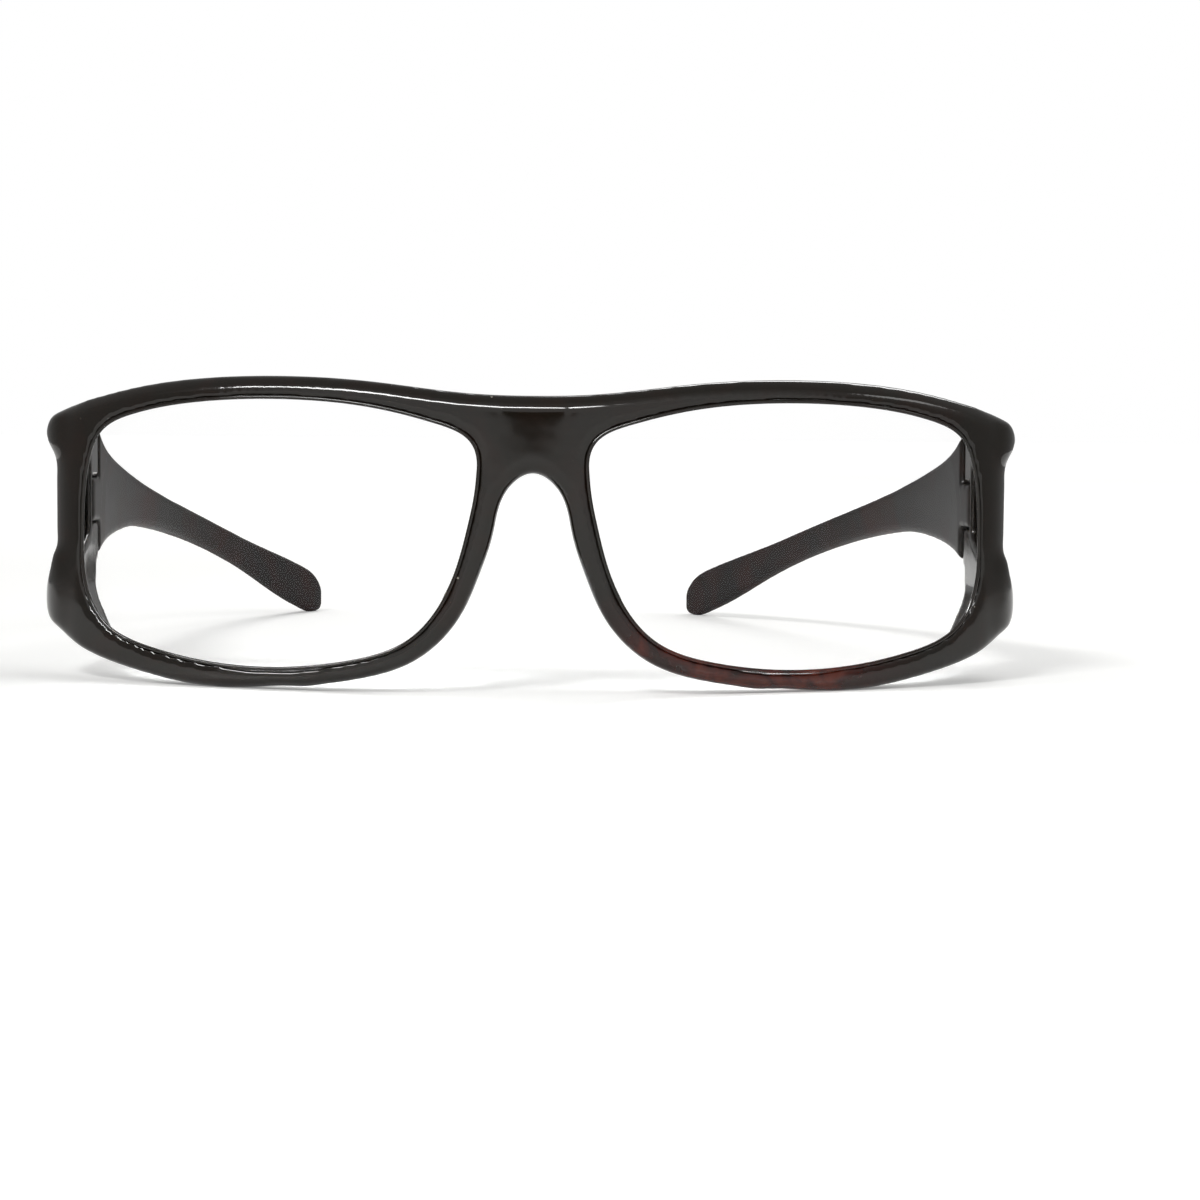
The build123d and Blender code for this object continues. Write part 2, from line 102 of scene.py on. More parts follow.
camera_data = bpy.data.cameras.new("front_camera")
camera_data.lens = camera_data.sensor_width * focal_pixels / image_side
camera = bpy.data.objects.new("front_camera", camera_data)
scene.collection.objects.link(camera)
scene.camera = camera
turn = atan((image_side / 2 - middle_column) / focal_pixels)
dip = atan((image_side / 2 - horizon_row) / focal_pixels)
camera.location = (0, cad_low.y - camera_distance, camera_height)
camera.rotation_euler = Euler((pi / 2 - dip, camera_roll, -turn))
bpy.context.view_layer.update()


def seen_at(point):
    """The column and row of the picture where a point falls."""
    x, y, z = camera.matrix_world.inverted() @ Vector(point)
    half = image_side / 2
    return round(half - focal_pixels * x / z), round(half + focal_pixels * y / z)


print("lens in mm:", round(camera_data.lens, 1))
print("bridge:", seen_at((0, cad_low.y, cad_high.z)), "foot:", seen_at((0.045, -0.0735, 0)))
for side in (cad_low.x, cad_high.x):
    print("end of the brow:", seen_at((side, -0.045, 0.036)))

# %% [markdown]
# ## Nodes by one small function
# Every material and tree below is made of nodes. One function adds any kind of node, sets its
# properties, and fills its inputs with values or with the outputs of earlier nodes. A second one
# turns a colour from the way it is usually written to the linear values that a shader needs. The
# third and the fourth start a material, and put a mesh of a few corners into the scene.


# %% Helpers for nodes, colours and flat pieces
def add_node(tree, kind, inputs=None, **settings):
    """Adds a node. Each input is a value, or the output of another node to link it to."""
    node = tree.nodes.new(kind)
    for name, value in settings.items():
        setattr(node, name, value)
    for name, value in (inputs or {}).items():
        if isinstance(value, bpy.types.NodeSocket):
            tree.links.new(value, node.inputs[name])
        else:
            node.inputs[name].default_value = value
    return node


def linear(code):
    """The linear RGBA of an sRGB colour written as six hex digits."""
    shares = [int(code[i:i + 2], 16) / 255 for i in (1, 3, 5)]
    return [s / 12.92 if s <= 0.04045 else ((s + 0.055) / 1.055) ** 2.4 for s in shares] + [1]


def new_material(name):
    """A material with its tree and its Principled shader."""
    material = bpy.data.materials.new(name)
    material.use_nodes = True
    return material, material.node_tree, material.node_tree.nodes["Principled BSDF"]


def stand_in(name, corners, faces, material):
    """A piece of the studio, from corners in metres and the faces between them."""
    mesh = bpy.data.meshes.new(name)
    mesh.from_pydata(corners, [], faces)
    mesh.materials.append(material)
    piece = bpy.data.objects.new(name, mesh)
    scene.collection.objects.link(piece)
    return piece


def rectangle(width, height):
    """The corners of a level rectangle round the middle, in order."""
    return [(x * width / 2, y * height / 2, 0) for x, y in ((-1, -1), (1, -1), (1, 1), (-1, 1))]


print("middle grey is", round(linear("#808080")[0], 3), "in linear light")

# %% [markdown]
# ## The studio
# Small glossy things are photographed on a white sweep under soft lamps. The floor and the
# surroundings are lit like a room, but what the camera sees of them, directly, in a reflection or
# through a lens, is white. Stronger lamps would wash the frame out. Here the white comes from the
# kind of ray, so the glasses keep their tone, and the floor still darkens under them.

# %% White surroundings
room_level = 0.45              # what the surroundings add to the light on the glasses


def seen_as_white(tree):
    """1 for the rays that show the surroundings: to the camera, in gloss and through glass."""
    path = add_node(tree, "ShaderNodeLightPath")
    seen = add_node(tree, "ShaderNodeMath", {0: path.outputs["Is Camera Ray"],
                                             1: path.outputs["Is Glossy Ray"]}, operation="MAXIMUM")
    return add_node(tree, "ShaderNodeMath", {0: seen.outputs[0],
                                             1: path.outputs["Is Transmission Ray"]},
                    operation="MAXIMUM").outputs[0]


world = bpy.data.worlds.new("studio")
scene.world = world
world.use_nodes = True
sky = world.node_tree
sky.nodes.clear()
sky_level = add_node(sky, "ShaderNodeMapRange", {"Value": seen_as_white(sky), "To Min": room_level})
backdrop = add_node(sky, "ShaderNodeBackground", {"Color": linear("#ffffff"),
                                                  "Strength": sky_level.outputs["Result"]})
add_node(sky, "ShaderNodeOutputWorld", {"Surface": backdrop.outputs[0]})
print("room level:", room_level)

# %% [markdown]
# The sweep under the glasses is matt white paper, and a real one curves up behind. A flat sheet is
# simpler, but its far end would show as a grey band under the white surroundings. So it gets
# lighter with distance, until the two meet without an edge.

# %% The floor
floor_side = 8.0               # metres
near_lift, far_lift = 0.20, 0.60    # added to the floor where it is seen
lift_start, lift_end = 0.25, 1.5    # metres from the middle

paper, paper_tree, paper_shader = new_material("matt_white_paper")
spot = add_node(paper_tree, "ShaderNodeTexCoord").outputs["Object"]
away = add_node(paper_tree, "ShaderNodeVectorMath", {0: spot}, operation="LENGTH")
amount = add_node(paper_tree, "ShaderNodeMapRange", {
    "Value": away.outputs["Value"], "From Min": lift_start, "From Max": lift_end,
    "To Min": near_lift, "To Max": far_lift})
lift = add_node(paper_tree, "ShaderNodeMath", {0: seen_as_white(paper_tree), 1: amount.outputs[0]},
                operation="MULTIPLY")
paper_shader.inputs["Base Color"].default_value = linear("#f3f3f1")
paper_shader.inputs["Roughness"].default_value = 0.8
paper_shader.inputs["Specular IOR Level"].default_value = 0.2
paper_shader.inputs["Emission Color"].default_value = linear("#ffffff")
paper_tree.links.new(lift.outputs[0], paper_shader.inputs["Emission Strength"])
floor = stand_in("studio_floor", rectangle(floor_side, floor_side), [(0, 1, 2, 3)], paper)
floor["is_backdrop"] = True
print("floor:", floor_side, "m square")

# %% [markdown]
# Three soft boxes light the glasses: the key from the front left and above, a wide one from behind
# for the edges, and a weak one from the right. Bare bulbs would draw hard spots on the gloss, and
# boxes draw soft bands.

# %% Soft lamps
aim = Vector((0, -0.04, 0.02))
# name, place in metres, width and height of the lit face in metres, watts
lamps = [("key_softbox", (-0.40, -0.72, 0.86), 0.30, 0.16, 5.0),
         ("rear_softbox", (0.30, 0.80, 0.70), 0.60, 0.25, 3.0),
         ("side_softbox", (0.95, -0.25, 0.55), 0.40, 0.40, 2.0)]
for name, place, width, height, watts in lamps:
    lamp_data = bpy.data.lights.new(name, "AREA")
    lamp_data.shape = "RECTANGLE"
    lamp_data.size, lamp_data.size_y = width, height
    lamp_data.energy = watts
    lamp = bpy.data.objects.new(name, lamp_data)
    lamp.location = place
    lamp.rotation_euler = (aim - Vector(place)).to_track_quat("-Z", "Y").to_euler()
    scene.collection.objects.link(lamp)
    print(name, "radiance", round(watts / (pi * width * height), 1))

# %% [markdown]
# ## What the gloss mirrors
# Polished black plastic has hardly any colour of its own, and what it shows is the room. In the
# picture the middle of the frame mirrors something bright in front of it, and its sides and its
# brow mirror a dim room. So an arched room stands round the glasses, white at the camera's end and
# grey round the sides and behind. Low grey boards stand on the floor beside and behind them, as a
# photographer puts there to keep the white floor out of a dark flank. Only reflections see these.

# %% The room that the gloss mirrors
room_radius = 1.6              # metres
room_front, room_back = -3.0, 1.6
room_arc_steps = 24
bright_until, dim_from = -2.2, -0.3    # metres along Y, less than 0 is towards the camera
dim_level = 0.28
board_side, board_back, board_front = 0.26, 0.34, -0.26    # metres from the middle
board_height = 0.16


def seen_in_gloss_only(piece):
    """Hides a stand-in from everything but reflections, and marks it as part of the studio."""
    piece.visible_camera = piece.visible_diffuse = piece.visible_shadow = False
    piece.visible_transmission = piece.visible_volume_scatter = False
    piece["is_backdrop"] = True


arc = [(room_radius * cos(pi * i / room_arc_steps), room_radius * sin(pi * i / room_arc_steps))
       for i in range(room_arc_steps + 1)]
feet = [(-board_side, board_front), (-board_side, board_back), (board_side, board_back),
        (board_side, board_front)]
corners = [(x, y, z) for y in (room_front, room_back) for x, z in arc]
corners += [(x, y, z) for z in (0, board_height) for x, y in feet]
back, boards = len(arc), 2 * len(arc)
walls_and_boards = [(i, i + 1, back + i + 1, back + i) for i in range(room_arc_steps)]
walls_and_boards += [tuple(range(back, boards))]
walls_and_boards += [(boards + i, boards + i + 1, boards + i + 5, boards + i + 4) for i in range(3)]
# The walls and the boards glow, though they are no lamp: white towards the camera, fading to a dim grey
# beside and behind. This glow is a painted reflection that the frame's gloss shows.
walls, walls_tree, walls_shader = new_material("glowing_walls_seen_in_gloss")
spot = add_node(walls_tree, "ShaderNodeTexCoord").outputs["Object"]
depth = add_node(walls_tree, "ShaderNodeSeparateXYZ", {0: spot}).outputs["Y"]
level = add_node(walls_tree, "ShaderNodeMapRange", {
    "Value": depth, "From Min": bright_until, "From Max": dim_from,
    "To Min": 1.0, "To Max": dim_level})
walls_shader.inputs["Base Color"].default_value = linear("#000000")
walls_shader.inputs["Emission Color"].default_value = linear("#ffffff")
walls_tree.links.new(level.outputs[0], walls_shader.inputs["Emission Strength"])
room = stand_in("arched_room", corners, walls_and_boards, walls)
seen_in_gloss_only(room)
print("room:", len(room.data.polygons), "faces")

# %% [markdown]
# A polished front also mirrors whoever takes the picture. The dark patch on the bridge, wide at
# the top and narrow below, is the camera with its hood, so a black board of that outline stands in
# its place.

# %% The camera's own reflection
# half of the outline in mm, across and above the camera's eye
hood_half = [(10, -8.8), (14, -7), (27, -2.5), (35, 2), (42, 20), (42, 70)]

outline = [(-x, z) for x, z in reversed(hood_half)] + hood_half
black, _, black_shader = new_material("black_camera_body")
black_shader.inputs["Base Color"].default_value = linear("#0a0a0a")
hood = stand_in("camera_front", [camera.location + Vector((x, 0, z)) * MM for x, z in outline],
                [tuple(range(len(outline)))], black)
seen_in_gloss_only(hood)
print("hood's edge:", len(outline), "corners")

# %% [markdown]
# The bright thread along the brow and the lower rim is the picture of one long lamp, high up and
# to the left. A lamp that bright would flood everything else, so a glowing strip that only
# reflections can see stands in for it.

# %% The strip that draws the bright threads
strip_distance = 1.0           # metres from the bridge
strip_side, strip_climb = radians(-27), radians(44)
strip_width, strip_height = 1.0, 0.12
strip_glow = 50.0

glow, _, glow_shader = new_material("glowing_strip")
glow_shader.inputs["Base Color"].default_value = linear("#000000")
glow_shader.inputs["Emission Color"].default_value = linear("#ffffff")
glow_shader.inputs["Emission Strength"].default_value = strip_glow
strip = stand_in("thread_strip", rectangle(strip_width, strip_height), [(0, 1, 2, 3)], glow)
outward = Vector((sin(strip_side) * cos(strip_climb), -cos(strip_side) * cos(strip_climb),
                  sin(strip_climb)))
strip.location = Vector((0, cad_low.y, camera_height)) + outward * strip_distance
strip.rotation_euler = outward.to_track_quat("Z", "Y").to_euler()
seen_in_gloss_only(strip)
print("strip at", [round(c, 2) for c in strip.location])

# %% [markdown]
# ## Tortoise coloured nylon, moulded and polished
# The frame is clear brown nylon with darker pigment stirred in, moulded and then polished. Over
# most of it the pigment closes up to near black, and along the lower rim of the wearer's left eye
# red-brown flames show. A picture could be wrapped on, but noise in the solid runs through every
# wall, as the pigment does. The noise is stretched by distortion into flames about 9 mm across. A
# ball of influence round the middle of the cluster lets them open there, and holds them to a faint
# warmth elsewhere. Sparse pale dots are the dust that polished plastic draws.

# %% Tortoise nylon: its colour
flame_width = 9 * MM
cluster_middle = Vector((28, -76, 1)) * MM
cluster_reach = Vector((36, 20, 16)) * MM
faint_share = 0.30             # how far the flames open away from the cluster
dust_spacing = 7 * MM
dust_size = 0.16 * MM

nylon, tree, nylon_shader = new_material("polished_tortoise_nylon")
place = add_node(tree, "ShaderNodeTexCoord").outputs["Object"]
flames = add_node(tree, "ShaderNodeTexNoise", {"Vector": place, "Scale": 1 / flame_width,
                                               "Detail": 4.0, "Distortion": 1.6})
centred = add_node(tree, "ShaderNodeVectorMath", {0: place, 1: cluster_middle}, operation="SUBTRACT")
shrunk = add_node(tree, "ShaderNodeVectorMath", {0: centred.outputs[0], 1: cluster_reach},
                  operation="DIVIDE")
cluster = add_node(tree, "ShaderNodeTexGradient", {"Vector": shrunk.outputs[0]},
                   gradient_type="SPHERICAL")
opened = add_node(tree, "ShaderNodeMapRange", {"Value": cluster.outputs["Fac"], "From Max": 0.5,
                                               "To Min": faint_share, "To Max": 1.0})
heat = add_node(tree, "ShaderNodeMath", {0: flames.outputs["Fac"], 1: opened.outputs[0]},
                operation="MULTIPLY")
shades = add_node(tree, "ShaderNodeValToRGB", {"Fac": heat.outputs[0]})
shades.color_ramp.elements[0].color = linear("#1a1813")
shades.color_ramp.elements[1].color = linear("#6a2c14")
for share, code in ((0.14, "#191510"), (0.22, "#1e140e"), (0.40, "#240f0a"), (0.50, "#38130b"),
                    (0.62, "#4f1d10")):
    shades.color_ramp.elements.new(share).color = linear(code)
dots = add_node(tree, "ShaderNodeTexVoronoi", {"Vector": place, "Scale": 1 / dust_spacing})
dust = add_node(tree, "ShaderNodeMath", {0: dots.outputs["Distance"], 1: dust_size / dust_spacing},
                operation="LESS_THAN")
# 6 and 7 are the mix node's two colours, and its colour comes out at 2
dusty = add_node(tree, "ShaderNodeMix", {"Factor": dust.outputs[0], 6: shades.outputs[0],
                                         7: linear("#8f8a80")}, data_type="RGBA")
tree.links.new(dusty.outputs[2], nylon_shader.inputs["Base Color"])
print("flames per frame width:", round((cad_high.x - cad_low.x) / flame_width, 1))

# %% [markdown]
# Polishing leaves a mirror that is not quite even. Touch leaves smudges of some 9 mm that widen a
# reflection, and the cooled skin keeps a soft waviness of 4 mm that bends it, so that the bright
# threads waver a little. The mirror's strength is 0.38, where 0.5 is what the index alone gives. It
# is matched to the dark brown that the picture keeps.

# %% Tortoise nylon: its polish
smudge_width = 9 * MM
ripple_width = 4.0 * MM
ripple_height = 0.4 * MM

smudges = add_node(tree, "ShaderNodeTexNoise", {"Vector": place, "Scale": 1 / smudge_width,
                                                "Detail": 5.0})
gloss = add_node(tree, "ShaderNodeMapRange", {"Value": smudges.outputs["Fac"], "From Min": 0.35,
                                              "From Max": 0.70, "To Min": 0.07, "To Max": 0.15})
ripple = add_node(tree, "ShaderNodeTexNoise", {"Vector": place, "Scale": 1 / ripple_width,
                                               "Detail": 1.0})
waves = add_node(tree, "ShaderNodeBump", {"Height": ripple.outputs["Fac"], "Strength": 0.05,
                                          "Distance": ripple_height})
tree.links.new(gloss.outputs[0], nylon_shader.inputs["Roughness"])
tree.links.new(waves.outputs[0], nylon_shader.inputs["Normal"])
nylon_shader.inputs["IOR"].default_value = 1.50
nylon_shader.inputs["Specular IOR Level"].default_value = 0.38
print("smudges in mm:", round(smudge_width / MM, 1), "ripples:", round(ripple_width / MM, 1))

# %% [markdown]
# ## Satin nylon arms
# The arms come from the same family of nylon but keep the fine etched skin of their mould, so they
# spread a reflection wide instead of mirroring it. Seen along their length they look grey-brown and
# pale, and face on they are nearly as dark as the frame. A plain even roughness would look like
# rubber. Here the hinge end is smoother, as handling polishes it, and clouds of 12 mm vary it. The
# etch is finer than the picture can show, so it is drawn at half a millimetre, and it shadows
# itself, so the mirror has half the strength that the index alone gives.

# %% Satin nylon
etch_width = 0.5 * MM
etch_height = 0.05 * MM
cloud_width = 12 * MM
smooth_until, rough_from = -30 * MM, 60 * MM    # along the arm
cloud_share = 0.12             # of the roughness

satin, tree, satin_shader = new_material("satin_dark_nylon")
place = add_node(tree, "ShaderNodeTexCoord").outputs["Object"]
clouds = add_node(tree, "ShaderNodeTexNoise", {"Vector": place, "Scale": 1 / cloud_width,
                                               "Detail": 4.0, "Distortion": 0.8})
shades = add_node(tree, "ShaderNodeValToRGB", {"Fac": clouds.outputs["Fac"]})
shades.color_ramp.elements[0].position, shades.color_ramp.elements[1].position = 0.42, 0.75
shades.color_ramp.elements[0].color = linear("#17130f")
shades.color_ramp.elements[1].color = linear("#2c140d")
along = add_node(tree, "ShaderNodeSeparateXYZ", {0: place}).outputs["Y"]
worn = add_node(tree, "ShaderNodeMapRange", {"Value": along, "From Min": smooth_until,
                                             "From Max": rough_from, "To Min": 0.26, "To Max": 0.72})
uneven = add_node(tree, "ShaderNodeMath", {0: clouds.outputs["Fac"], 1: cloud_share,
                                           2: worn.outputs[0]}, operation="MULTIPLY_ADD")
etch = add_node(tree, "ShaderNodeTexNoise", {"Vector": place, "Scale": 1 / etch_width, "Detail": 2.0})
grain = add_node(tree, "ShaderNodeBump", {"Height": etch.outputs["Fac"], "Strength": 0.05,
                                          "Distance": etch_height})
tree.links.new(shades.outputs[0], satin_shader.inputs["Base Color"])
tree.links.new(uneven.outputs[0], satin_shader.inputs["Roughness"])
tree.links.new(grain.outputs[0], satin_shader.inputs["Normal"])
satin_shader.inputs["IOR"].default_value = 1.50
satin_shader.inputs["Specular IOR Level"].default_value = 0.25
print("etch width in mm:", etch_width / MM)

# %% [markdown]
# ## Mouldings without knife edges
# The solids meet in sharp edges, and no moulding does: a mould's own corners are round, and
# polishing takes more away. A bevel modifier would have to find its way through the long thin
# triangles of a solid. So each moulding gets a new even skin from fine voxels, which is then
# relaxed a little. Broad faces stay where they are, and every edge comes out round.

# %% A new skin for a solid
front_voxel = 0.42 * MM
arm_voxel = 0.35 * MM
merge_within = 0.001 * MM      # joins the doubled corners of a solid's faces


def skinned(node, voxel):
    """An even skin of voxel sized faces over a merged copy of a node."""
    host = bpy.data.objects.new(node + "_host", frame["nodes"][node].data.copy())
    scene.collection.objects.link(host)
    merging = host.modifiers.new("merge", "WELD")
    merging.merge_threshold = merge_within
    covering = host.modifiers.new("cover", "REMESH")
    covering.mode = "VOXEL"
    covering.voxel_size = voxel
    covering.use_smooth_shade = True
    ready = host.evaluated_get(bpy.context.evaluated_depsgraph_get())
    skin = bpy.data.meshes.new_from_object(ready)
    bpy.data.objects.remove(host)
    return skin


front_skin = skinned("front_frame", front_voxel)
print("faces of the skin:", len(front_skin.polygons))

# %% [markdown]
# A point that moves halfway to the middle of its neighbours smooths the skin, but done again and
# again it shrinks the piece. So every second move goes back by a little more, which flattens the
# steps of the voxels and keeps the size. Where a moulding blends two forms into each other, as at
# the ends of the rails, the way back is left out, and the skin there runs together.


# %% Smoothing a skin
def places(mesh):
    """The points of a mesh as rows of x, y and z."""
    flat = numpy.empty(3 * len(mesh.vertices))
    mesh.vertices.foreach_get("co", flat)
    return flat.reshape(-1, 3)


def relax(mesh, rounds, pull, way_back, shares=1.0):
    """Smooths a mesh, by a share of its own for each point."""
    points = places(mesh)
    ends = numpy.empty(2 * len(mesh.edges), dtype=int)
    mesh.edges.foreach_get("vertices", ends)
    here = numpy.concatenate((ends[0::2], ends[1::2]))
    there = numpy.concatenate((ends[1::2], ends[0::2]))
    neighbours = numpy.bincount(here, minlength=len(points))
    for move in (pull, way_back) * rounds:
        for axis in range(3):
            total = numpy.bincount(here, weights=points[there, axis], minlength=len(points))
            points[:, axis] += move * shares * (total / neighbours - points[:, axis])
    mesh.vertices.foreach_set("co", points.ravel())
    mesh.update()


def placed(name, mesh, finish, body, node):
    """The finished piece, riding on its body in the place of its node."""
    mesh.name = name
    mesh.materials.clear()
    mesh.materials.append(finish)
    piece = bpy.data.objects.new(name, mesh)
    scene.collection.objects.link(piece)
    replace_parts(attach(piece, body), node)
    print(name, "has", len(mesh.polygons), "faces")


print("size of the skin in mm:", numpy.ptp(places(front_skin) / MM, axis=0).round(1))

# %% [markdown]
# ## The polished front
# The rails grow out of the corner of the front, and the foot of the shield runs out along the lower
# rim. On the real moulding these forms flow into each other. Fillets on the solid would have to
# follow five faces into one point. On the skin a ball of influence round each such place is enough:
# inside it the skin is smoothed more than elsewhere. The same pass eases the lower rim off the table
# at the end of its flat.

# %% The front
# where the forms run together: the middle in mm, on the wearer's left, and how far round it
blends = [((71, -58, 37), 7), ((71, -58, 13), 9), ((36, -76, 0), 9),
          ((56.5, -61, 2), 4.5), ((59.5, -56.5, 3.7), 4.5), ((62, -52.3, 5.4), 4.5)]
# the corner where the lower rim leaves the table is eased, in mm
chin_x, chin_reach, chin_height = 36, 6, 4
chin_lift = 0.35 * MM
half_way, back_again = 0.5, -0.52    # of the distance to the middle of the neighbours

relax(front_skin, 12, half_way, back_again)
corners = places(front_skin) / MM
corners[:, 0] = abs(corners[:, 0])
chin_share = numpy.clip(1 - ((corners[:, 0] - chin_x) / chin_reach) ** 2, 0, 1) ** 2
points = places(front_skin)
points[:, 2] += chin_lift * chin_share * numpy.clip(1 - corners[:, 2] / chin_height, 0, 1)
front_skin.vertices.foreach_set("co", points.ravel())
shares = numpy.zeros(len(corners))
for middle, reach in blends:
    away = numpy.linalg.norm(corners - middle, axis=1) / reach
    shares = numpy.maximum(shares, numpy.clip(1 - away ** 2, 0, 1))
relax(front_skin, 20, half_way, half_way, shares)
relax(front_skin, 9, half_way, 0.0)
placed("moulded_front", front_skin, nylon, "front", "front_frame")

# %% [markdown]
# ## Arms with a finger tip
# Towards its end each arm is rounded like a finger, most of all from above, so that it slides in
# over an ear. The solid ends in a blunt cut with small corners. Here the last stretch is drawn in
# towards a line near its foot and towards its middle, with the arm turned open, so that both arms
# get the same tip.

# %% The arms
tip_length = 8 * MM
blunt_share = 0.96             # of the curve that is used, so that the end stays blunt
swell_length = 34 * MM         # the stretch that thickens towards the tip
swell = 0.17                   # of its height over the foot line
tip_line = 1.0 * MM            # over the table
tip_lean = 0.42                # how far the arm runs inwards for each metre back
tip_trim = 0.3 * MM            # keeps the turned corners inside the solid's length
foot_slope = 0.33              # climb of the arm's lower line, forwards from the tip
foot_start = 4 * MM            # from the tip to where that climb begins
# how the end closes: a power, higher is later, and a curve, 0.5 is round
round_above, round_below, round_beside = (3.0, 0.4), (8.0, 0.5), (4, 0.5)


def with_finger_tip(mesh, joint):
    """The arm's mesh with its last stretch rounded like a finger."""
    pivot = Vector(joint["pos_m"])
    opening = Matrix.Rotation(radians(joint["range_deg"][0]), 4, Vector(joint["axis"]))
    opened = Matrix.Translation(pivot) @ opening @ Matrix.Translation(-pivot)
    mesh.transform(opened)
    points = places(mesh)
    side = 1 if pivot.x > 0 else -1
    along = points[:, 1] - side * tip_lean * points[:, 0]
    across = points[:, 0] + side * tip_lean * points[:, 1]
    back = (along.max() - along) / (1 + tip_lean ** 2)
    foot = tip_line + foot_slope * numpy.clip(back - foot_start, 0, swell_length)
    near = numpy.clip(1 - back / swell_length, 0, 1)
    thicker = 1 + swell * near ** 2 * (3 - 2 * near)
    over = points[:, 2] > foot
    points[over, 2] = foot[over] + (points[over, 2] - foot[over]) * thicker[over]
    share = blunt_share * numpy.clip(1 - back / tip_length, 0, 1)
    last = share > 0
    middle = (across[last].max() + across[last].min()) / 2
    high = last & (points[:, 2] > tip_line)
    low = last & ~high
    for chosen, (power, curve) in ((high, round_above), (low, round_below)):
        kept = (1 - share[chosen] ** power) ** curve
        points[chosen, 2] = tip_line + (points[chosen, 2] - tip_line) * kept
    thinner = (1 - share[last] ** round_beside[0]) ** round_beside[1]
    moved = (thinner - 1) * (across[last] - middle) / (1 + tip_lean ** 2)
    points[last, 0] += moved
    points[last, 1] += side * tip_lean * moved - share[last] * tip_trim
    mesh.vertices.foreach_set("co", points.ravel())
    mesh.transform(opened.inverted())
    return mesh


for joint in frame["joints"]:
    body = joint["child"]
    arm = with_finger_tip(skinned(body, arm_voxel), joint)
    relax(arm, 8, half_way, back_again)
    relax(arm, 4, half_way, 0.0)
    placed(body.replace("temple", "arm"), arm, satin, body, body)

# %% [markdown]
# ## Clear lenses
# A front lens is polycarbonate, moulded clear, with a hard coat and a coat against reflections. The
# white room does not veil what lies behind it, and the little that it mirrors is bluish, which the
# tint of the shader's mirror says. A cloth leaves faint traces of some 18 mm that blur it a little.
# The plastic bends light more than window glass does, and it would cast a heavy shadow if its
# refraction were followed to the lamps. Real clear plastic hardly darkens anything, so the shadow
# rays pass straight through instead.

# %% Clear polycarbonate
wipe_width = 18 * MM           # of the traces that a cloth leaves

clear, tree, shader = new_material("hard_coated_clear_polycarbonate")
place = add_node(tree, "ShaderNodeTexCoord").outputs["Object"]
wipes = add_node(tree, "ShaderNodeTexNoise", {"Vector": place, "Scale": 1 / wipe_width,
                                              "Detail": 3.0})
film = add_node(tree, "ShaderNodeMapRange", {"Value": wipes.outputs["Fac"], "From Min": 0.4,
                                             "From Max": 0.7, "To Min": 0.0, "To Max": 0.015})
shader.inputs["Base Color"].default_value = linear("#ffffff")
shader.inputs["Transmission Weight"].default_value = 1.0
shader.inputs["IOR"].default_value = 1.585
shader.inputs["Specular Tint"].default_value = linear("#44464e")
tree.links.new(film.outputs[0], shader.inputs["Roughness"])
path = add_node(tree, "ShaderNodeLightPath")
through = add_node(tree, "ShaderNodeBsdfTransparent", {"Color": linear("#f4f6f7")})
mixed = add_node(tree, "ShaderNodeMixShader", {0: path.outputs["Is Shadow Ray"],
                                               1: shader.outputs[0], 2: through.outputs[0]})
tree.links.new(mixed.outputs[0], tree.nodes["Material Output"].inputs["Surface"])
for name in ("left_front_lens", "right_front_lens"):
    frame["nodes"][name].material_slots[0].material = clear
print("clear lens IOR:", shader.inputs["IOR"].default_value)

# %% [markdown]
# ## Dark side panes
# The side windows stop light that comes in past the eyes. They are smoke coloured polycarbonate,
# polished, so dark that nothing shows through in the picture. Tinted glass would need its light
# followed through it for no gain, so a dark blue-grey with a clear gloss stands for it. The tint
# drifts a little over 12 mm, and wiping has dulled the gloss in the same clouds.

# %% Smoke polycarbonate
tint_width = 12 * MM

smoke, tree, shader = new_material("polished_smoke_polycarbonate")
place = add_node(tree, "ShaderNodeTexCoord").outputs["Object"]
tint = add_node(tree, "ShaderNodeTexNoise", {"Vector": place, "Scale": 1 / tint_width,
                                             "Detail": 2.0})
shades = add_node(tree, "ShaderNodeValToRGB", {"Fac": tint.outputs["Fac"]})
shades.color_ramp.elements[0].color = linear("#0a0c13")
shades.color_ramp.elements[1].color = linear("#151a28")
film = add_node(tree, "ShaderNodeMapRange", {"Value": tint.outputs["Fac"], "From Min": 0.4,
                                             "From Max": 0.7, "To Min": 0.04, "To Max": 0.10})
tree.links.new(shades.outputs[0], shader.inputs["Base Color"])
tree.links.new(film.outputs[0], shader.inputs["Roughness"])
shader.inputs["IOR"].default_value = 1.585
for name in ("left_side_lens", "right_side_lens"):
    frame["nodes"][name].material_slots[0].material = smoke
print("pane IOR:", shader.inputs["IOR"].default_value)

# %% [markdown]
# ## Steel screws
# Each arm turns on one steel screw with a slotted head. It is turned on a lathe, which leaves fine
# rings round the shank and the rim of the head, and these spread a reflection along the screw.
# Noise would look cast, and bands along Z look turned. The real rings are closer than a picture can
# show, so they are drawn 0.15 mm apart. Small clouds of wear vary the tone and the gloss.

# %% Turned steel
ring_spacing = 0.15 * MM
ring_height = 0.02 * MM
wear_width = 0.6 * MM
band_at_one = 0.3              # metres between this texture's bands at scale 1, about

